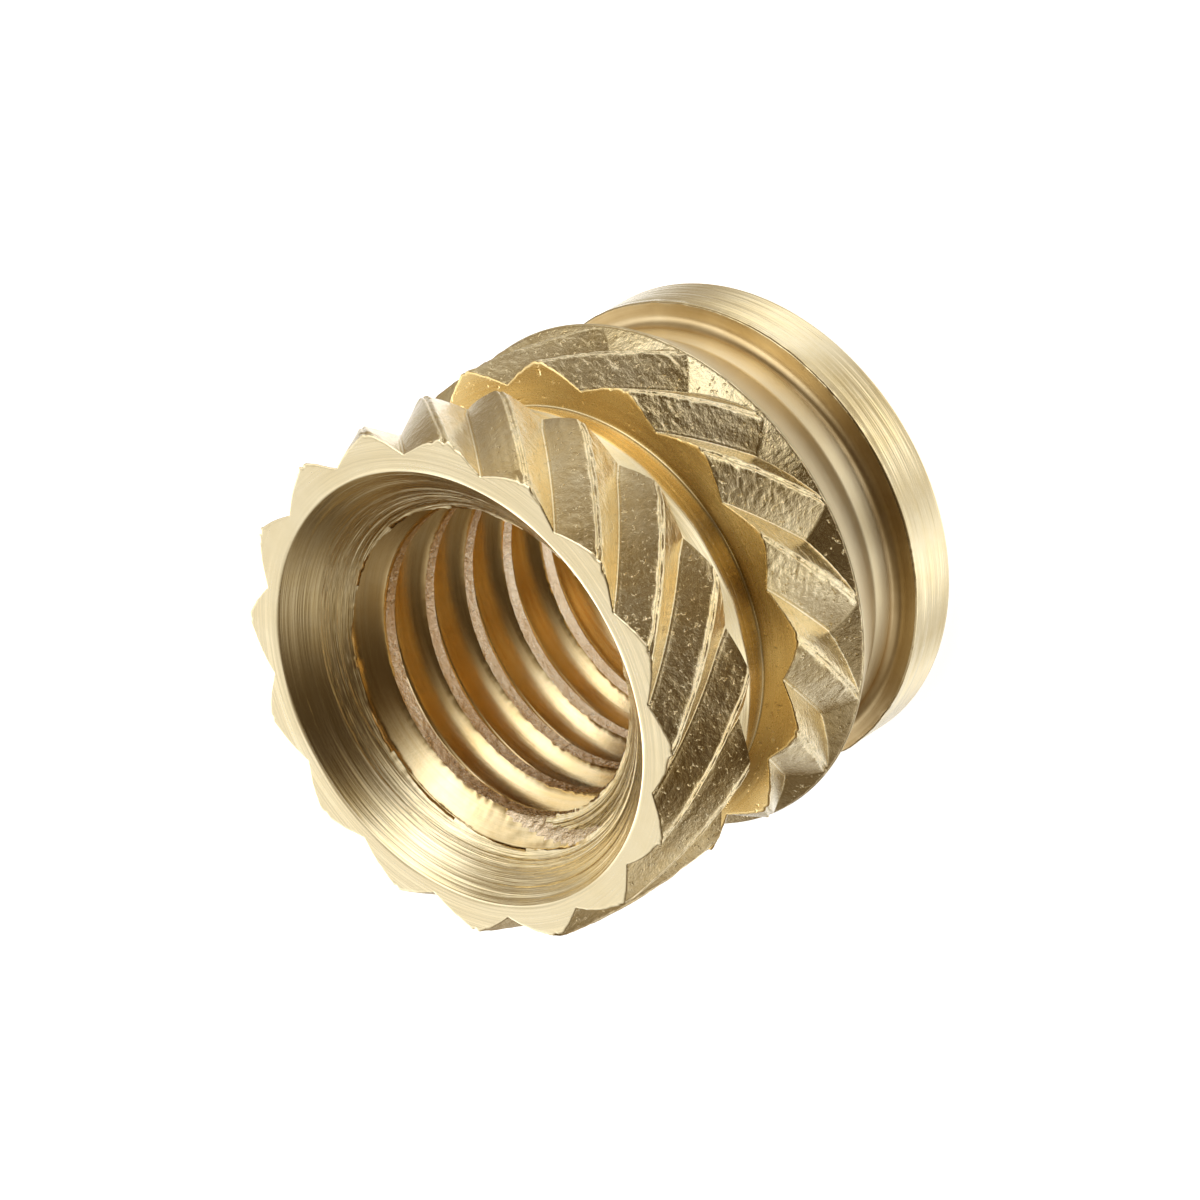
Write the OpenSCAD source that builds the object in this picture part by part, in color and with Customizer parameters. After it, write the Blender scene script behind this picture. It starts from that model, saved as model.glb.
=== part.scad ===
// Threaded insert for hot or pressed fitting into plastic: one turned and
// knurled piece standing on its plain collar, countersunk mouth upward.
// Millimetres. The axis is Z and the collar's end face lies on z = 0.

/* [Overall] */
// Height from the collar's end face to the countersunk face
body_len = 6.1; // [5:0.1:12]
// Diameter over the rim, the widest place
knurl_od = 7.0; // [5.8:0.1:12]

/* [Threaded bore] */
// Nominal diameter of the metric thread
thread_d = 5.0; // [3:0.5:6]
// Thread pitch, which sets the bore left for the thread crests
thread_pitch = 0.8; // [0.5:0.05:1]
// Included angle of the countersunk mouth
mouth_angle = 90; // [70:1:110]
// Flat left on the mouth's face, between the countersink and the valleys
mouth_land = 0.19; // [0.1:0.01:0.25]
// Depth of the small lead at the collar's end
lead_depth = 0.25; // [0.1:0.05:0.4]

/* [Knurls] */
// Teeth around each band
teeth = 16; // [10:1:24]
// Helix angle of the teeth, left-hand above and right-hand below
helix_angle = 46; // [25:1:55]
// Depth of the valleys below the rim
knurl_depth = 0.335; // [0.15:0.005:0.42]
// Width of the rounded tooth tip
tip_width = 0.24; // [0.1:0.01:0.4]
// Height of the upper band, which is open at both ends
upper_band = 1.66; // [1:0.01:2.4]
// Height of the lower band, whose valleys close above the neck
lower_band = 1.31; // [0.8:0.01:2]
// Slope of the closed valley ends, from the axis
runout_angle = 49; // [30:1:60]
// Unbroken rim under the closed valley ends
rim_width = 0.04; // [0.02:0.01:0.1]
// Angle of the first upper valley at the countersunk face
upper_start = 19; // [0:0.5:22]
// Angle of the first lower valley at the groove
lower_start = 6; // [0:0.5:22]

/* [Turned grooves] */
// Height of the groove between the bands
groove_len = 0.97; // [0.6:0.01:1.4]
// Depth of that groove below the rim
groove_depth = 0.65; // [0.45:0.01:0.7]
// Height of the straight land under the upper band
land_len = 0.42; // [0.2:0.01:0.5]
// Step from the upper valleys down to that land
land_step = 0.1; // [0.05:0.01:0.15]
// Depth of the neck below the rim; its height is what the rest leaves
neck_depth = 0.525; // [0.3:0.005:0.7]
// Share of the neck's height that tapers out to the rim
neck_taper = 0.655; // [0.4:0.005:0.8]
// Fillet where the neck meets the collar
neck_fillet = 0.15; // [0.05:0.01:0.25]
// Height of the plain collar
collar_len = 0.775; // [0.4:0.005:1.2]
// Depth of the collar's side below the rim
collar_depth = 0.21; // [0.05:0.01:0.35]
// Edge break on the collar's end face
collar_edge = 0.06; // [0.02:0.01:0.15]

/* [Hidden] */

rim_r = knurl_od / 2;
bore_r = (thread_d - thread_pitch) / 2;
tip_r = rim_r - 0.01;
root_r = rim_r - knurl_depth;
land_r = root_r - land_step;
groove_r = rim_r - groove_depth;
neck_r = rim_r - neck_depth;
collar_r = rim_r - collar_depth;
mouth_r = root_r - mouth_land;
mouth_depth = (mouth_r - bore_r) / tan(mouth_angle / 2);

// Heights, from the collar's end face upward
upper_low = body_len - upper_band;
lower_top = upper_low - groove_len;
rim_low = lower_top - lower_band;
rim_top = rim_low + rim_width;
neck_top = rim_low - neck_taper * (rim_low - collar_len);
groove_low = lower_top + 0.02;
land_low = upper_low - land_len;
core_top = body_len - min(0.25, upper_band / 4);

fillet = min(neck_fillet, 0.8 * (neck_top - collar_len), 0.6 * (collar_r - neck_r));
over = 0.2;
brass = [0.80, 0.66, 0.36];

tooth_n = round(teeth);
pitch_deg = 360 / tooth_n;
mean_r = (root_r + tip_r) / 2;
flank = (1 - tip_width * tooth_n / (2 * PI * mean_r)) / 2;
turn_per_mm = 180 * tan(helix_angle) / (PI * mean_r);

// Places around one tooth, from valley to valley, and the radius at each
steps = [0, flank / 2, flank, 0.5, 1 - flank, 1 - flank / 2];
shoulder_r = tip_r - 0.06 * (tip_r - root_r);

function tooth_r(t) =
    let (a = min(t, 1 - t))
    a <= flank ? root_r + (shoulder_r - root_r) * a / flank
               : shoulder_r + (tip_r - shoulder_r) * (a - flank) / (0.5 - flank);

// The lower band's valleys rise again to a closed rim at their lower end
function runout_r(z, rim_z) = tip_r - max(0, z - rim_z) * tan(runout_angle);

function ring(z, turn, closed, rim_z) = [
    for (i = [0 : tooth_n - 1]) for (t = steps)
        let (a = (i + t) * pitch_deg + turn,
             r = closed ? max(tooth_r(t), runout_r(z, rim_z)) : tooth_r(t))
        [r * cos(a), r * sin(a), z]
];

// One band: rings of points stacked from z = low to z = high, turned by the
// helix as they rise (hand = 1 is right-hand), closed by a flat at each end.
module knurl_band(low, high, hand, start, closed, rim_z) {
    layers = 12;
    n = tooth_n * len(steps);
    heights = [for (k = [0 : layers]) low + (high - low) * k / layers];
    rings = [for (z = heights)
        for (p = ring(z, start + hand * turn_per_mm * (z - high), closed, rim_z)) p];
    last = layers * n;
    points = concat(rings, [[0, 0, low], [0, 0, high]]);
    sides = [for (k = [0 : layers - 1]) for (i = [0 : n - 1])
        let (j = (i + 1) % n, a = k * n + i, b = k * n + j)
        for (f = hand > 0 ? [[a, a + n, b + n], [a, b + n, b]]
                          : [[a, a + n, b], [b, a + n, b + n]]) f];
    low_cap = [for (i = [0 : n - 1]) [last + n, i, (i + 1) % n]];
    high_cap = [for (i = [0 : n - 1]) [last + n + 1, last + (i + 1) % n, last + i]];
    polyhedron(points = points, faces = concat(sides, low_cap, high_cap), convexity = 6);
}

// The turned shape the bands stand on: collar, neck, rim, groove and land
module turned_core() {
    corner = [for (a = [0 : 15 : 90])
        [neck_r + fillet * (1 - sin(a)), collar_len + fillet * (1 - cos(a))]];
    rotate_extrude($fn = 180)
        polygon(concat(
            [[0, 0], [collar_r - collar_edge, 0], [collar_r, collar_edge],
             [collar_r, collar_len]],
            corner,
            [[neck_r, neck_top], [rim_r, rim_low], [rim_r, rim_top],
             [groove_r, rim_top], [groove_r, groove_low], [land_r, land_low],
             [land_r, core_top], [0, core_top]]
        ));
}

module insert_body() {
    color(brass)
    difference() {
        union() {
            turned_core();
            knurl_band(upper_low, body_len, -1, upper_start, false, 0);
            knurl_band((rim_low + rim_top) / 2, lower_top, 1, lower_start, true, rim_top);
        }
        translate([0, 0, -over])
            cylinder(h = body_len + 2 * over, r = bore_r, $fn = 180);
        translate([0, 0, body_len - mouth_depth])
            cylinder(h = mouth_depth + over, r1 = bore_r,
                     r2 = mouth_r + over * tan(mouth_angle / 2), $fn = 180);
        translate([0, 0, -over])
            cylinder(h = lead_depth + over, r1 = bore_r + lead_depth + over,
                     r2 = bore_r, $fn = 180);
    }
}

insert_body();
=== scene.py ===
"""Looks of the brass threaded insert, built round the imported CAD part: surfaces, finishes, studio and camera.

Shapes are worked out in millimetres. make() turns them into metres, in the CAD's own frame.
"""

import math

import bpy
import numpy as np
from mathutils import Matrix, Vector


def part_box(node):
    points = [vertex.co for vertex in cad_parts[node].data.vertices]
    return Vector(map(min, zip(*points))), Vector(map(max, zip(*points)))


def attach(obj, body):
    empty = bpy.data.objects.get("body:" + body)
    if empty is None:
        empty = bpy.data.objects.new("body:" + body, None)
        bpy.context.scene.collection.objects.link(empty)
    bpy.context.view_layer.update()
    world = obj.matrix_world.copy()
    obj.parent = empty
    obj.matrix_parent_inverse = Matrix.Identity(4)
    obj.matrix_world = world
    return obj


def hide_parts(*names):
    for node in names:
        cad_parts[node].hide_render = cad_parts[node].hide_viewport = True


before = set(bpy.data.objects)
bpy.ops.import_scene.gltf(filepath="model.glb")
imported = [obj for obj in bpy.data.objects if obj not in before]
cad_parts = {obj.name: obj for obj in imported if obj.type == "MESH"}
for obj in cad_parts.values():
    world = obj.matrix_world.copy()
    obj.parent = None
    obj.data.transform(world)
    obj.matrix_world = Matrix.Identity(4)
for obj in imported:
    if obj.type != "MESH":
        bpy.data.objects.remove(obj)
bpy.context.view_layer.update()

# ---------------------------------------------------------------- sizes, in millimetres and degrees
MM = 1000.0
low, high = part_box("insert_body")
TOP = high.z * MM
RIM = (high.x - low.x) / 2 * MM

# Turned and rolled sizes, as in the part's source
BORE = 2.10  # radius at the thread's crests
THREAD_ROOT = 2.49  # radius at the thread's roots, just inside the full 5.0 mm
PITCH = 0.8
TEETH = 16
HELIX = 46.0
KNURL_DEPTH = 0.335
LAND_DROP = 0.100  # the land lies this far below the upper valleys
GROOVE_DEPTH = 0.650
NECK_DEPTH = 0.525
COLLAR_INSET = 0.210
MOUTH_WALL = 0.190  # left between the countersink and the valleys
UPPER_BAND = 1.66
BAND_GAP = 0.97
LOWER_BAND = 1.31
RIM_WIDTH = 0.04
LAND_WIDTH = 0.42
NECK_TAPER = 0.655  # share of the neck that is tapered
COLLAR_TOP = 0.775
COLLAR_FILLET = 0.15
COLLAR_EDGE = 0.07
BORE_LEAD = 0.25

# Small edges and clearances that only the looks have
TIP_GAP = 0.010  # teeth end this far inside the rim
CREST_ROOM = 0.022  # kept free under a tip for its torn lip
SKIN_GAP = 0.002  # nothing comes nearer than this to the CAD's rim
UPPER_EDGE = 0.085
GROOVE_FILLET = 0.025
BAND_EDGE = 0.012
RIM_EDGE = 0.004
RIM_BREAK = 0.006
TAPER_STEP = 0.010
TOOTH_BREAK = 0.010  # at the teeth's upper ends
MOUTH_BREAK = 0.006  # between the countersink and the face
GROOVE_BREAK = 0.006  # between the groove's face and the lower teeth
COLLAR_BREAK = 0.016  # at the collar's upper edge, inward
COLLAR_DROP = 0.014  # and downward
JOIN_RISE = 0.50  # the countersink's surface starts this far above its narrow end

# Radii
TIP = RIM - TIP_GAP
ROOT = RIM - KNURL_DEPTH
LAND = ROOT - LAND_DROP
GROOVE = RIM - GROOVE_DEPTH
NECK = RIM - NECK_DEPTH
COLLAR = RIM - COLLAR_INSET
MOUTH = ROOT - MOUTH_WALL

# Heights
CONE_END = TOP - (MOUTH - BORE)
UPPER_LOW = TOP - UPPER_BAND
LAND_TOP = UPPER_LOW - UPPER_EDGE
LAND_LOW = UPPER_LOW - LAND_WIDTH
LOWER_TOP = UPPER_LOW - BAND_GAP
RIM_LOW = LOWER_TOP - LOWER_BAND
RIM_TOP = RIM_LOW + RIM_WIDTH
NECK_TOP = RIM_LOW - NECK_TAPER * (RIM_LOW - COLLAR_TOP)
MOUTH_JOIN = CONE_END + JOIN_RISE

# Radians that a tooth turns for each millimetre of height
TURN = math.tan(math.radians(HELIX)) / ((ROOT + TIP) / 2)

# How each tooth of the two bands differs in height, and in where its tip stands
rng = np.random.default_rng(7)
TIP_SPREAD = rng.normal(0, 0.008, (2, TEETH))
LEAN = rng.normal(0, 0.012, (2, TEETH))


# ---------------------------------------------------------------- noise
def lattice(ix, iy, iz, seed):
    """A number from -1 to 1 for each lattice point, by an integer hash with large odd factors."""
    word = 0xFFFFFFFF
    kept_bits = 0xFFFFFF
    h = (ix.astype(np.int64) * 374761393 + iy.astype(np.int64) * 668265263
         + iz.astype(np.int64) * 2147483647 + seed * 1274126177) & word
    h = ((h ^ (h >> 13)) * 1274126177) & word
    h = ((h ^ (h >> 16)) * 2246822519) & word
    return ((h ^ (h >> 15)) & kept_bits) / float(kept_bits) * 2 - 1


def noise(p, seed):
    """Smooth noise from -1 to 1 at points p, one lattice cell to a unit."""
    cell = np.floor(p)
    f = p - cell
    f = f * f * f * (f * (f * 6 - 15) + 10)
    total = 0
    for dx in (0, 1):
        for dy in (0, 1):
            for dz in (0, 1):
                share = ((f[..., 0] if dx else 1 - f[..., 0])
                         * (f[..., 1] if dy else 1 - f[..., 1])
                         * (f[..., 2] if dz else 1 - f[..., 2]))
                corner = lattice(cell[..., 0] + dx, cell[..., 1] + dy, cell[..., 2] + dz, seed)
                total = total + share * corner
    return total


def fractal(p, octaves, seed):
    """Noise with finer and weaker noise on top of it, from -1 to 1."""
    total, size, whole = 0, 1.0, 0
    for k in range(octaves):
        total = total + size * noise(p * 2 ** k, seed + 31 * k)
        whole += size
        size *= 0.5
    return total / whole


def points(x, y, z):
    """Points from three numbers or arrays, spread to one shape."""
    return np.stack(np.broadcast_arrays(x, y, z), -1).astype(float)


def place(r, phi, z):
    """Points from radius, angle and height."""
    return points(r * np.cos(phi), r * np.sin(phi), z)


def ease(x, start, end):
    """0 before start, 1 after end, and a smooth step between them."""
    u = np.clip((x - start) / (end - start), 0, 1)
    return u * u * (3 - 2 * u)


def bump_at(x, centre, width):
    """A smooth hump that is 1 at the centre."""
    return np.exp(-((x - centre) / width) ** 2)


# ---------------------------------------------------------------- materials
def new_material(name):
    """A material with its node tree and its shader."""
    material = bpy.data.materials.new(name)
    material.use_nodes = True
    return material, material.node_tree, material.node_tree.nodes["Principled BSDF"]


def math_node(nt, operation, a, b=None):
    node = nt.nodes.new("ShaderNodeMath")
    node.operation = operation
    for i, value in enumerate((a, b)):
        if isinstance(value, (int, float)):
            node.inputs[i].default_value = value
        elif value is not None:
            nt.links.new(value, node.inputs[i])
    return node.outputs[0]


def noise_node(nt, vector, scale, detail, rough):
    node = nt.nodes.new("ShaderNodeTexNoise")
    node.inputs["Scale"].default_value = scale
    node.inputs["Detail"].default_value = detail
    node.inputs["Roughness"].default_value = rough
    nt.links.new(vector, node.inputs["Vector"])
    return node.outputs["Fac"]


def mixed(nt, a, share_a, b, share_b):
    """The sum of two values, each times its share."""
    return math_node(nt, "ADD", math_node(nt, "MULTIPLY", a, share_a), math_node(nt, "MULTIPLY", b, share_b))


def tinted(nt, tone, colours):
    """A colour that goes from the first to the second over the middle of the tone's range."""
    middle = 0.38, 0.62
    node = nt.nodes.new("ShaderNodeValToRGB")
    for stop, position, colour in zip(node.color_ramp.elements, middle, colours):
        stop.position = position
        stop.color = (*colour, 1)
    nt.links.new(tone, node.inputs["Fac"])
    return node.outputs["Color"]


def mapped(nt, value, source, target):
    """The value carried from one range to another, and held at that range's ends."""
    node = nt.nodes.new("ShaderNodeMapRange")
    for socket, number in zip(node.inputs[1:5], (*source, *target)):
        socket.default_value = number
    nt.links.new(value, node.inputs[0])
    return node.outputs[0]


def coordinates(nt):
    """Place in millimetres, and a vector that changes across the turning lines but hardly along them."""
    along_axis, drift = 0.9, 0.06
    source = nt.nodes.new("ShaderNodeTexCoord")
    scaled = nt.nodes.new("ShaderNodeVectorMath")
    scaled.operation = "SCALE"
    scaled.inputs["Scale"].default_value = MM
    nt.links.new(source.outputs["Object"], scaled.inputs[0])
    split = nt.nodes.new("ShaderNodeSeparateXYZ")
    nt.links.new(scaled.outputs[0], split.inputs[0])
    x, y, z = split.outputs
    squared = math_node(nt, "ADD", math_node(nt, "MULTIPLY", x, x), math_node(nt, "MULTIPLY", y, y))
    radius = math_node(nt, "SQRT", squared)
    line = nt.nodes.new("ShaderNodeCombineXYZ")
    nt.links.new(math_node(nt, "ADD", radius, math_node(nt, "MULTIPLY", z, along_axis)), line.inputs[0])
    for socket, side in zip(line.inputs[1:3], (x, y)):
        nt.links.new(math_node(nt, "MULTIPLY", math_node(nt, "DIVIDE", side, radius), drift), socket)
    return scaled.outputs[0], line.outputs[0]


def add_bump(nt, shader, layers):
    """Layers of (height socket, depth in metres), one on top of the other."""
    last = None
    for height, depth in layers:
        bump = nt.nodes.new("ShaderNodeBump")
        bump.inputs["Distance"].default_value = depth
        bump.inputs["Strength"].default_value = 1.0
        nt.links.new(height, bump.inputs["Height"])
        if last is not None:
            nt.links.new(last, bump.inputs["Normal"])
        last = bump.outputs["Normal"]
    nt.links.new(last, shader.inputs["Normal"])


def turn_highlights(nt, shader, strength):
    """Stretch the highlights across the turning lines."""
    tangent = nt.nodes.new("ShaderNodeTangent")
    tangent.direction_type = "RADIAL"
    tangent.axis = "Z"
    nt.links.new(tangent.outputs[0], shader.inputs["Tangent"])
    shader.inputs["Anisotropic"].default_value = strength
    shader.inputs["Anisotropic Rotation"].default_value = 0.25


def brass(name, colours, rough, lines=0.0, grain=0.0, turned=0.0, line_scale=18.0, grain_scale=22.0,
          pits=0.0, pit_scale=9.0):
    """Brass with its turning lines, grain and pits: depths in metres, scales in cells to a millimetre."""
    material, nt, shader = new_material(name)
    shader.inputs["Metallic"].default_value = 1.0
    where, line = coordinates(nt)
    blotch = noise_node(nt, where, scale=1.1, detail=4.0, rough=0.6)
    fine = noise_node(nt, where, grain_scale, detail=4.0, rough=0.72)
    streak = noise_node(nt, line, line_scale, detail=3.0, rough=0.65)
    marks = streak if lines else fine
    tone = mixed(nt, blotch, 0.7, marks, 0.3)
    nt.links.new(tinted(nt, tone, colours), shader.inputs["Base Color"])
    wear = mixed(nt, marks, 0.6, fine, 0.4)
    nt.links.new(mapped(nt, wear, (0.3, 0.7), rough), shader.inputs["Roughness"])
    layers = []
    if lines:
        broad = noise_node(nt, line, line_scale * 0.3, detail=2.0, rough=0.5)
        layers += [(streak, lines), (broad, lines * 2.2)]
    if grain:
        layers.append((fine, grain))
    if pits:
        spots = noise_node(nt, where, pit_scale, detail=2.0, rough=0.5)
        layers.append((mapped(nt, spots, (0.28, 0.36), (0.0, 1.0)), pits))
    add_bump(nt, shader, layers)
    if turned:
        turn_highlights(nt, shader, turned)
    return material


# Colours of the brass: single ones, and pairs that run from its darker places to its paler ones
PALE = (0.885, 0.765, 0.51)
STRAW = (0.86, 0.725, 0.455)
DEEP = (0.83, 0.675, 0.375)
AMBER = (0.95, 0.73, 0.35)
OCHRE = (0.92, 0.67, 0.29)
PLAIN = DEEP, PALE
LIGHT = STRAW, PALE
WARM = OCHRE, AMBER
HONEY = (0.84, 0.655, 0.335), (0.885, 0.755, 0.49)
GOLD = (0.81, 0.60, 0.29), (0.90, 0.74, 0.45)
ROSE = (0.80, 0.61, 0.40), (0.91, 0.77, 0.57)
# Painted shade: a darker pair for the fillet and top face of the collar's step, standing in for the shade in
# that corner
CORNER_SHADE = (0.66, 0.49, 0.25), (0.82, 0.65, 0.38)

turned_brass = brass("brass_turned", PLAIN, rough=(0.14, 0.25), lines=8.0e-6, grain=0.5e-6,
                     turned=0.4, line_scale=20.0)
combed_brass = brass("brass_combed", PLAIN, rough=(0.18, 0.30), lines=4.5e-6, grain=0.5e-6,
                     turned=0.5, line_scale=24.0)
faced_brass = brass("brass_faced", LIGHT, rough=(0.18, 0.30), lines=2.4e-6, grain=0.3e-6,
                    turned=0.5, line_scale=24.0)
satin_brass = brass("brass_satin", LIGHT, rough=(0.33, 0.43), lines=0.8e-6, grain=0.6e-6,
                    turned=0.3, line_scale=20.0)
pitted_brass = brass("brass_pitted", WARM, rough=(0.22, 0.32), lines=0.5e-6, grain=0.5e-6,
                     turned=0.3, pits=4.0e-6)
rolled_brass = brass("brass_rolled", HONEY, rough=(0.13, 0.25), grain=7.5e-6, grain_scale=15.0,
                     pits=7.0e-6, pit_scale=16.0)
torn_brass = brass("brass_torn", PLAIN, rough=(0.15, 0.27), grain=11.0e-6, grain_scale=13.0,
                   pits=8.0e-6, pit_scale=13.0)
threaded_brass = brass("brass_threaded", GOLD, rough=(0.12, 0.24), lines=0.8e-6, grain=0.5e-6,
                       turned=0.4, line_scale=14.0)
crested_brass = brass("brass_crested", ROSE, rough=(0.18, 0.30), grain=26.0e-6, grain_scale=13.0)
ridged_brass = brass("brass_ridged", PLAIN, rough=(0.14, 0.24), lines=14.0e-6, grain=0.6e-6,
                     turned=0.3, line_scale=24.0)
# The collar step's darker colours are painted shade, for the corner under the neck
stepped_brass = brass("brass_stepped", CORNER_SHADE, rough=(0.28, 0.40), lines=0.6e-6, grain=0.6e-6,
                      turned=0.3)


# ---------------------------------------------------------------- surfaces
def make(name, co, quads, material):
    """A piece from points in millimetres and the quads that join them."""
    used, quads = np.unique(quads, return_inverse=True)
    co, quads = co[used], quads.reshape(-1, 4)
    mesh = bpy.data.meshes.new(name)
    mesh.vertices.add(len(co))
    mesh.vertices.foreach_set("co", (co / MM).astype(np.float32).ravel())
    mesh.loops.add(quads.size)
    mesh.loops.foreach_set("vertex_index", quads.astype(np.int32).ravel())
    mesh.polygons.add(len(quads))
    mesh.polygons.foreach_set("loop_start", np.arange(0, quads.size, 4, dtype=np.int32))
    mesh.polygons.foreach_set("loop_total", np.full(len(quads), 4, np.int32))
    mesh.polygons.foreach_set("use_smooth", np.ones(len(quads), bool))
    mesh.materials.append(material)
    mesh.update()
    mesh.validate()
    obj = bpy.data.objects.new(name, mesh)
    bpy.context.scene.collection.objects.link(obj)
    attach(obj, "root")
    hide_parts("insert_body")


def grid(rings, shift=0):
    """Points and quads of rings of (radius, angle, height), each joined to the next and closed all round.

    Where the rings wind like a thread, the last column joins the first one that many rows further on.
    """
    cols = max(np.size(value) for value in rings[0])
    r, phi, z = (np.array([np.broadcast_to(ring[i], cols) for ring in rings], float) for i in range(3))
    co = place(r, phi, z).reshape(-1, 3)
    here = np.arange(len(rings) * cols).reshape(len(rings), cols)
    beside = np.roll(here, -1, 1)
    if shift:
        beside[:-shift, -1] = here[shift:, 0]
        beside[-shift:, -1] = -1
    quads = np.stack([here[:-1], here[1:], beside[1:], beside[:-1]], -1).reshape(-1, 4)
    return co, quads[(quads >= 0).all(1)]


def skin(name, rings, material):
    """A piece from rings that are joined row to row."""
    make(name, *grid(rings), material)


def turning_marks(r, phi, z, depth, seed):
    """Faint uneven turning marks, the same all round but for a slow drift."""
    across, drift = 9.0, 0.4
    return depth * noise(points((r + 0.9 * z) * across, np.cos(phi) * drift, np.sin(phi) * drift), seed)


def straight(begin, end, steps, phi, depth=0.0, seed=0, mark_end=False):
    """Rings on a straight line between two (radius, height), with turning marks between its ends."""
    rings = []
    for f in np.linspace(0, 1, steps):
        r = begin[0] + (end[0] - begin[0]) * f
        z = begin[1] + (end[1] - begin[1]) * f
        marked = depth and (0 < f < 1 or (mark_end and f == 1))
        rings.append((r + turning_marks(r, phi, z, depth, seed) if marked else r, phi, z))
    return rings


def quarter_round(r, z, radius, steps, phi):
    """Rings down a quarter round from (r, z), outward, or inward where its radius is negative."""
    angles = np.linspace(0, 1, steps)[1:] * math.pi / 2
    return [(r + radius * (1 - math.cos(a)), phi, z - abs(radius) * math.sin(a)) for a in angles]


def column_places(count):
    """Places across one tooth, closer together at the valley and the crest."""
    t = np.linspace(0, 1, 4001)
    density = 1 + 3.0 * bump_at(np.minimum(t, 1 - t), 0, 0.03) + 1.6 * bump_at(t, 0.5, 0.08)
    passed = np.concatenate([[0], np.cumsum((density[1:] + density[:-1]) / 2)])
    return np.interp(np.arange(count) / count, passed / passed[-1], t)


# Columns round the knurls: the tooth each is on, its place across that tooth from 0 to 1, and its angle
PER_TOOTH = 56
TOOTH = np.repeat(np.arange(TEETH), PER_TOOTH)
ACROSS = np.tile(column_places(PER_TOOTH), TEETH)
ANGLE = (TOOTH + ACROSS) * 2 * np.pi / TEETH


def tooth(t):
    """Height across a tooth from 0 in the valley to 1 at the tip: two nearly flat flanks and a narrow tip."""
    places = [0, 0.010, 0.022, 0.25, 0.41, 0.44, 0.47, 0.53, 0.56, 0.59, 0.75, 0.978, 0.990, 1]
    heights = [0.02, 0.015, 0.045, 0.58, 0.925, 0.965, 0.985, 0.985, 0.965, 0.925, 0.58, 0.045, 0.015, 0.02]
    return np.interp(t, places, heights)


def crest_and_valley_lines(t, z, which):
    """The crest as a torn double lip, uneven along its length, and a scored line each side of the valley."""
    along = points(z * 7.0, TOOTH * 5.3, ACROSS * 9.0)
    lips = 0.020 * bump_at(t, 0.455, 0.032) + 0.014 * bump_at(t, 0.545, 0.032)
    uneven = 0.55 + 0.9 * fractal(along, 3, seed=5 + which)
    split = 0.014 * bump_at(t, 0.5, 0.022) * (0.6 + 0.8 * fractal(along * 1.3 + 9.0, 2, seed=8))
    score = 0.006 * bump_at(np.minimum(t, 1 - t), 0.035, 0.010)
    return lips * uneven - split + score


def knurl(z, which, top, hand, start, drift, ragged):
    """Radius, angle, tooth height and place of a band of teeth, at rows z (rows by 1) for every column.

    start is the first valley's angle at the band's top, drift moves the tips sideways, and ragged is how
    far burrs stand along the top edge.
    """
    phi = ANGLE + math.radians(start) + hand * TURN * (z - top)
    wobble = 0.010 * noise(points(z * 1.3, TOOTH * 3.1, which), seed=4)
    skew = wobble + LEAN[which][TOOTH] + drift
    t = np.clip(ACROSS + skew * np.sin(np.pi * ACROSS) ** 2, 0, 1)
    s = tooth(t)
    where = place(ROOT, phi, z)
    height = TIP - CREST_ROOM - ROOT + TIP_SPREAD[which][TOOTH]
    top_edge = ease(z, top - 0.09, top) * ease(s, 0.1, 0.4)
    burrs = ragged * fractal(where * 14.0, 3, seed=27) * top_edge
    return ROOT + height * s + crest_and_valley_lines(t, z, which) + burrs, phi, s, where


def rolled_marks(z, where):
    """Marks on the upper band's flanks: fine grain, streaks along the teeth, hollows and dents in patches."""
    grain = 0.0036 * fractal(where * 15.0, 3, seed=11)
    streaks = 0.0035 * fractal(points(ACROSS * 26, z * 1.8, TOOTH * 2.7), 2, seed=15)
    hollows = 0.0050 * noise(where * 2.5, seed=12)
    dented = ease(noise(where * 1.2, seed=14), -0.2, 0.5)
    dents = 0.014 * dented * np.maximum(noise(where * 9.0, seed=13) - 0.45, 0)
    return grain + streaks + hollows - dents


def torn_marks(phi, z, where):
    """Marks on the lower band's flanks: torn grain that runs with the teeth, stronger in patches."""
    girth = phi * ROOT
    along = points(girth * 11.0 + z * 3.0, z * 15.0 - girth * 4.0, where[..., 0] * 8.0)
    swirl = 1.1 * points(noise(where * 7.0, seed=25), noise(where * 7.0, seed=26), 0.0)
    patches = 0.30 + 0.70 * ease(noise(where * 1.3, seed=24), -0.6, 0.5)
    hollows = 0.003 * noise(where * 3.0, seed=22)
    return 0.013 * patches * fractal(along + swirl, 4, seed=21) + hollows


def upper_band(z):
    """Left-hand teeth, rolled a little off centre, so they lean one way on one side of the insert."""
    start = 19
    drift = -0.075 * np.sin(ANGLE + math.radians(start - 30))
    r, phi, s, where = knurl(z, which=0, top=TOP, hand=-1, start=start, drift=drift, ragged=0.006)
    r = r + ease(s, 0.03, 0.2) * rolled_marks(z, where)
    chips = 0.010 + 0.045 * np.maximum(noise(points(TOOTH * 3.7, ACROSS * 13, z * 9), seed=17), 0)
    r = r - chips * ease(z, TOP - 0.14, TOP) * ease(s, 0.55, 0.95)
    shift = 0.03 * ease(z, UPPER_LOW, TOP)
    r, phi = r - shift * np.sin(phi), phi - shift * np.cos(phi) / r
    return np.minimum(r, RIM - SKIN_GAP), phi


def lower_band(z):
    """Right-hand teeth, whose valleys close on a sloping run-out above the rim."""
    start, slope = 6, 1.15
    r, phi, s, where = knurl(z, which=1, top=LOWER_TOP, hand=1, start=start, drift=0.0, ragged=0.020)
    r = r + ease(s, 0.03, 0.2) * torn_marks(phi, z, where)
    grain = 0.010 * fractal(where * 9, 4, seed=3)
    run_out = TIP - RIM_EDGE - np.maximum(0, z - RIM_TOP) * slope + grain
    return np.minimum(np.maximum(r, run_out), RIM - SKIN_GAP), phi


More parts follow.
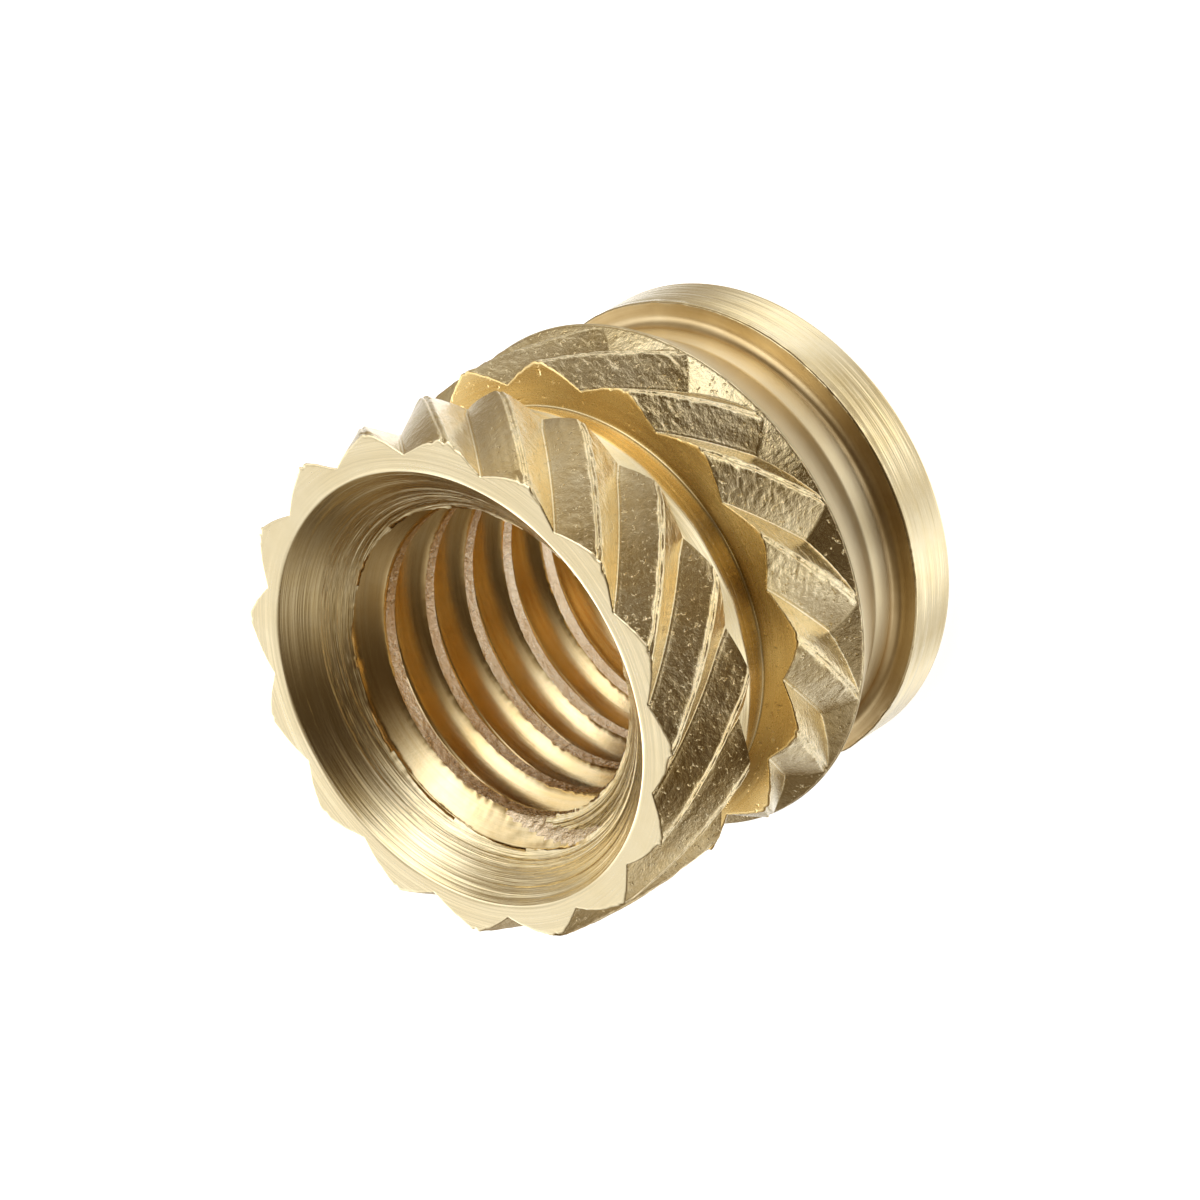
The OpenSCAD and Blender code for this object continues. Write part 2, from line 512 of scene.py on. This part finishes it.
def countersink_rings(phi):
    """The cone, from its join with the threaded bore up to the mouth, with chatter near the bore."""
    rings = []
    for f in np.linspace(0, 1, 44) ** 1.15:
        z = MOUTH_JOIN + (TOP - 2 * MOUTH_BREAK - MOUTH_JOIN) * f
        r = BORE + (z - CONE_END)
        patchy = 0.5 * noise(place(r, phi, z) * np.array([1.5, 1.5, 24.0]), seed=2)
        chatter = 0.0025 * bump_at(f, 0, 0.14) * (patchy + 0.6 * math.sin(z * 78))
        marks = chatter + turning_marks(r, phi, z, depth=0.0018, seed=31)
        rings.append((r + marks if 0 < f < 1 else r, phi, z))
    return rings


def mouth_face_rings(teeth_r, phi):
    """The flat end face, from the cone out to the ends of the teeth."""
    rings = []
    inner = MOUTH + MOUTH_BREAK
    for f in np.linspace(0, 1, 12):
        r = inner + (teeth_r - TOOTH_BREAK - inner) * f
        edge_drop = 0.0006 * (f in (0, 1))
        uneven = 0.0008 * (0.5 + 0.5 * noise(place(r, phi, TOP) * 5.0, seed=9))
        rings.append((r, phi, TOP - edge_drop - uneven))
    return rings


def upper_knurl_rings(band_r, band_phi, heights):
    """The upper band; its last rows sink at the valleys and rise at the tips, as the teeth run out."""
    sloped_rows, level_r, slope = 12, 3.33, 0.30
    first = len(heights) - sloped_rows
    rings = []
    for k, z in enumerate(heights):
        share = max(0, k - first) / (sloped_rows - 1)
        rings.append((band_r[k], band_phi[k], z + share * (band_r[k] - level_r) * slope))
    return rings


def land_rings(edge):
    """Below the upper band: a short slope, the turned land, the groove's cone and its fillet."""
    edge_r, phi, edge_z = edge
    slope = straight((edge_r, edge_z), (LAND, LAND_TOP), 7, phi)
    land = straight((LAND, LAND_TOP), (LAND, LAND_LOW), 12, phi, depth=0.004, seed=41)
    groove_end = LOWER_TOP + GROOVE_FILLET
    groove = straight((LAND, LAND_LOW), (GROOVE, groove_end), 14, phi, depth=0.002, seed=42, mark_end=True)
    return slope + land[1:] + groove[1:] + quarter_round(GROOVE, groove_end, GROOVE_FILLET, 6, phi)


def groove_face_rings(teeth_r, phi, teeth_z):
    """The groove's lower face, a little uneven, out to the ends of the lower band's teeth."""
    rings = []
    inner = GROOVE + GROOVE_FILLET
    for f in np.linspace(0, 1, 14):
        r = inner + (teeth_r - GROOVE_BREAK - inner) * f
        dip = 0.0012 * noise(place(r, phi, LOWER_TOP) * 3.0, seed=51) * (0 < f < 1)
        rings.append((r, phi, LOWER_TOP - SKIN_GAP + dip))
    return rings + [(teeth_r, phi, teeth_z)]


def neck_rings(edge):
    """The plain rim, the taper under it and the neck's cylinder down to the collar's fillet."""
    phi = edge[1]
    rim_r = RIM - RIM_EDGE
    rim = [edge, (rim_r, phi, RIM_TOP - RIM_WIDTH / 2), (rim_r, phi, RIM_LOW + RIM_BREAK)]
    taper = straight((RIM - TAPER_STEP, RIM_LOW), (NECK, NECK_TOP), 16, phi, depth=0.0005, seed=61)
    fillet_top = COLLAR_TOP + COLLAR_FILLET
    neck = straight((NECK, NECK_TOP), (NECK, fillet_top), 8, phi, depth=0.0004, seed=62)
    return rim + taper + neck[1:]


def collar_step_rings(edge, burr):
    """The fillet below the neck and the collar's top face, which ends in a burred edge."""
    phi = edge[1]
    rings = [edge] + quarter_round(NECK, COLLAR_TOP + COLLAR_FILLET, COLLAR_FILLET, 8, phi)
    inner = NECK + COLLAR_FILLET
    for f in np.linspace(0, 1, 5)[1:]:
        r = inner + (COLLAR - COLLAR_BREAK + burr - inner) * f
        rings.append((r, phi, COLLAR_TOP + burr * 0.5 * (f == 1)))
    return rings


def collar_rings(edge, burr):
    """The collar's side, burred at the top, its rounded lower edge and the end face."""
    phi = edge[1]
    side_top = COLLAR_TOP - COLLAR_DROP
    rings = [edge]
    for f in np.linspace(0, 1, 24):
        z = side_top + (COLLAR_EDGE - side_top) * f
        fading = burr * math.exp(-f * 14)
        marks = turning_marks(COLLAR, phi, z, depth=0.0035, seed=72)
        rings.append((COLLAR + fading + marks, phi, z + fading * 0.4))
    rings += quarter_round(COLLAR, COLLAR_EDGE, -COLLAR_EDGE, 6, phi)
    return rings + straight((COLLAR - COLLAR_EDGE, 0.0), (BORE + BORE_LEAD, 0.0), 7, phi)[1:]


def outside():
    """Every surface but the bore, from the countersink down to the end face."""
    upper_z = np.linspace(TOP - TOOTH_BREAK, UPPER_LOW, 100)
    upper_r, upper_phi = upper_band(upper_z[:, None])
    cone = countersink_rings(upper_phi[0])
    face = mouth_face_rings(upper_r[0], upper_phi[0])
    skin("insert_mouth", cone, turned_brass)
    skin("insert_mouth_face", cone[-1:] + face + [(upper_r[0], upper_phi[0], upper_z[0])], faced_brass)
    upper = upper_knurl_rings(upper_r, upper_phi, upper_z)
    skin("insert_upper_knurl", upper, rolled_brass)
    skin("insert_land", land_rings(upper[-1]), combed_brass)

    lower_z = np.linspace(LOWER_TOP - BAND_EDGE, RIM_TOP - BAND_EDGE, 88)
    lower_r, lower_phi = lower_band(lower_z[:, None])
    skin("insert_groove_face", groove_face_rings(lower_r[0], lower_phi[0], lower_z[0]), pitted_brass)
    lower = list(zip(lower_r, lower_phi, lower_z))
    skin("insert_lower_knurl", lower, torn_brass)

    neck = neck_rings(lower[-1])
    skin("insert_neck", neck, satin_brass)
    phi = lower_phi[-1]
    burr = 0.013 * fractal(points(np.cos(phi) * 14, np.sin(phi) * 14, 0.0), 3, seed=71)
    step = collar_step_rings(neck[-1], burr)
    skin("insert_collar_step", step, stepped_brass)
    skin("insert_collar", collar_rings(step[-1], burr), turned_brass)


THREAD_ROWS = 28
THREAD_COLUMNS = 480
CREST_AT = 5.05 - PITCH * 0.15  # height of a crest where the angle is 0
CREST_HALF = 0.115  # half of a crest's width, as a share of the pitch


def thread_grid():
    """Share of the pitch, angle and height for rows that follow the thread, so that its edges stay crisp."""
    turns = int(math.ceil(MOUTH_JOIN / PITCH)) + 2
    row = np.arange(-THREAD_ROWS, turns * THREAD_ROWS)[:, None] / THREAD_ROWS
    around = np.linspace(0, 2 * np.pi, THREAD_COLUMNS, endpoint=False)
    z = CREST_AT % PITCH - PITCH + (row + around / (2 * np.pi)) * PITCH
    return row - np.floor(row), around + 0 * z, z


def thread_profile(from_crest):
    """Depth of the thread, from 0 in the middle of its crest to 1 at its root, half a pitch away."""
    places = [0, 0.10, 0.12, 0.14, 0.40, 0.44, 0.5]
    depths = [0.0, 0.002, 0.015, 0.06, 0.93, 0.99, 1.0]
    return np.interp(from_crest, places, depths)


def thread_radius(from_crest, phi, grit):
    """Radius of the thread, whose crests are torn, most of all on one side of the bore."""
    torn_side = 0.5 + 0.5 * ease(np.cos(phi - math.radians(62)), 0.2, 0.9)
    rough_crest = ease(0.135 - from_crest, 0.0, 0.035) * torn_side * 0.012 * grit
    return BORE + (THREAD_ROOT - BORE) * thread_profile(from_crest) + np.maximum(rough_crest, -0.005)


def threaded_bore():
    """The bore up to its join with the countersink: thread, torn crests, and the cone that cuts them."""
    share, phi, z = thread_grid()
    running_out = 1 + 0.25 * ease(z, CONE_END - 0.75, CONE_END - 0.1)
    from_crest = np.minimum(share, 1 - share) / running_out
    grit = fractal(points(np.cos(phi) * 34, np.sin(phi) * 34, z * 22), 3, seed=81)
    thread_r = thread_radius(from_crest, phi, grit)

    # the cone leaves a ragged lip where it cuts the thread, and the lead cuts the lower end
    z = np.clip(z, 0.0, MOUTH_JOIN)
    cone_r = BORE + (z - CONE_END)
    lip = bump_at(thread_r, cone_r, 0.055)
    r = np.maximum(thread_r, cone_r) + lip * (0.026 * grit - 0.030)
    r = np.maximum(r, BORE + BORE_LEAD - z)

    # rows that the clip made flat are dropped, and the rest goes to three pieces
    co, quads = grid(list(zip(r, phi, z)), shift=THREAD_ROWS)
    quads = quads[np.ptp(co[quads, 2], axis=1) >= 1e-9]
    on_lip = (lip > 0.8).ravel()[quads].all(1)
    on_cone = (cone_r > thread_r).ravel()[quads].all(1) & ~on_lip
    on_crest = ((from_crest < CREST_HALF).ravel()[quads].all(1) | on_lip) & ~on_cone
    make("insert_thread", co, quads[~on_cone & ~on_crest], threaded_brass)
    make("insert_thread_crest", co, quads[on_crest], crested_brass)
    make("insert_mouth_edge", co, quads[on_cone], ridged_brass)


outside()
threaded_bore()

# ---------------------------------------------------------------- studio
# Soft lights all round: azimuth, elevation and half-width in degrees, and brightness
STUDIO = {
    "overhead box": (300, 62, 20, 1.8),
    "side box": (264, 44, 20, 1.65),
    "side strip": (282, 14, 16, 0.25),
    "front box": (334, 38, 21, 1.15),
    "bright wall": (18, 4, 22, 4.2),
    "wall top": (40, 42, 20, 0.95),
    "dim wall": (118, 20, 24, 0.5),
    "low wall left": (138, -24, 22, 1.6),
    "low wall back": (200, -28, 20, 1.9),
    "low wall right": (232, -22, 16, 1.0),
    "bounce right": (274, -40, 24, 1.4),
    "bounce front": (310, -15, 24, 0.45),
    "bounce near": (15, -52, 22, 1.4),
    "bounce left": (78, -35, 18, 1.3),
    "bounce behind": (145, -50, 20, 0.6),
    "bounce below": (90, -82, 24, 1.6),
}
AMBIENT = 0.06
FLOOR_HALF = 1.5
FLOOR_WHITE = 0.85
FLOOR_GLOW = 0.86


def toward(azimuth, elevation):
    """The direction at an azimuth and an elevation, in degrees."""
    a, e = math.radians(azimuth), math.radians(elevation)
    return Vector((math.cos(a) * math.cos(e), math.sin(a) * math.cos(e), math.sin(e)))


def lay_floor():
    """A plain white floor. The brass doesn't reflect it: the studio's lower lights stand for it there."""
    corners = [(x * FLOOR_HALF, y * FLOOR_HALF, 0) for x, y in ((-1, -1), (1, -1), (1, 1), (-1, 1))]
    mesh = bpy.data.meshes.new("floor")
    mesh.from_pydata(corners, [], [(0, 1, 2, 3)])
    floor = bpy.data.objects.new("floor", mesh)
    bpy.context.scene.collection.objects.link(floor)
    material, nt, shader = new_material("floor_white")
    shader.inputs["Base Color"].default_value = (FLOOR_WHITE, FLOOR_WHITE, FLOOR_WHITE, 1)
    shader.inputs["Roughness"].default_value = 1.0
    shader.inputs["Specular IOR Level"].default_value = 0.0
    shader.inputs["Emission Color"].default_value = (1, 1, 1, 1)
    shader.inputs["Emission Strength"].default_value = FLOOR_GLOW
    mesh.materials.append(material)
    floor.visible_glossy = False


def studio_level(nt):
    """Brightness of the studio in each direction: the sum of its soft lights."""
    direction = nt.nodes.new("ShaderNodeTexCoord").outputs["Generated"]
    total = AMBIENT
    for azimuth, elevation, width, power in STUDIO.values():
        aim = nt.nodes.new("ShaderNodeVectorMath")
        aim.operation = "DOT_PRODUCT"
        aim.inputs[1].default_value = toward(azimuth, elevation)
        nt.links.new(direction, aim.inputs[0])
        sharpness = 1 / (1 - math.cos(math.radians(width)))
        away = math_node(nt, "SUBTRACT", aim.outputs["Value"], 1.0)
        fall = math_node(nt, "EXPONENT", math_node(nt, "MULTIPLY", away, sharpness))
        total = math_node(nt, "ADD", math_node(nt, "MULTIPLY", fall, power), total)
    return total


def light_studio():
    """Soft light from all round, a little warmer where it is dim, and a plain white backdrop."""
    green_fall, blue_fall = 0.15, 0.41
    world = bpy.data.worlds.new("studio")
    bpy.context.scene.world = world
    world.use_nodes = True
    nt = world.node_tree
    level = studio_level(nt)
    dim = math_node(nt, "MINIMUM", level, 1.0)
    room = nt.nodes.new("ShaderNodeCombineColor")
    room.inputs[0].default_value = 1.0
    nt.links.new(math_node(nt, "POWER", dim, green_fall), room.inputs[1])
    nt.links.new(math_node(nt, "POWER", dim, blue_fall), room.inputs[2])
    lights = nt.nodes["Background"]
    nt.links.new(room.outputs[0], lights.inputs["Color"])
    nt.links.new(level, lights.inputs["Strength"])
    backdrop = nt.nodes.new("ShaderNodeBackground")
    backdrop.inputs["Color"].default_value = (1, 1, 1, 1)
    seen = nt.nodes.new("ShaderNodeMixShader")
    nt.links.new(nt.nodes.new("ShaderNodeLightPath").outputs["Is Camera Ray"], seen.inputs[0])
    nt.links.new(lights.outputs[0], seen.inputs[1])
    nt.links.new(backdrop.outputs[0], seen.inputs[2])
    nt.links.new(seen.outputs[0], nt.nodes["World Output"].inputs["Surface"])


lay_floor()
light_studio()
bpy.context.scene.view_settings.view_transform = "Standard"

# ---------------------------------------------------------------- camera
VIEW_AZIMUTH = 202.51
VIEW_ELEVATION = 43.83
ROLL = -120.90
DISTANCE = 90.0
TARGET = Vector((-0.895, -0.434, TOP - 2.009))
LENS = 212.36
SENSOR = 36.0


def place_camera():
    """The camera at the photograph's viewing angle and roll, looking at a point inside the insert."""
    data = bpy.data.cameras.new("camera")
    data.sensor_width = SENSOR
    data.lens = LENS
    data.clip_start = 0.001
    data.clip_end = 10.0
    camera = bpy.data.objects.new("camera", data)
    bpy.context.scene.collection.objects.link(camera)
    back = toward(VIEW_AZIMUTH, VIEW_ELEVATION)
    level = Vector((0, 0, 1)).cross(back).normalized()
    roll = Matrix.Rotation(math.radians(ROLL), 3, back)
    right, up = roll @ level, roll @ back.cross(level)
    spot = (TARGET + back * DISTANCE) / MM
    camera.matrix_world = Matrix.Translation(spot) @ Matrix((right, up, back)).transposed().to_4x4()
    bpy.context.scene.camera = camera


place_camera()
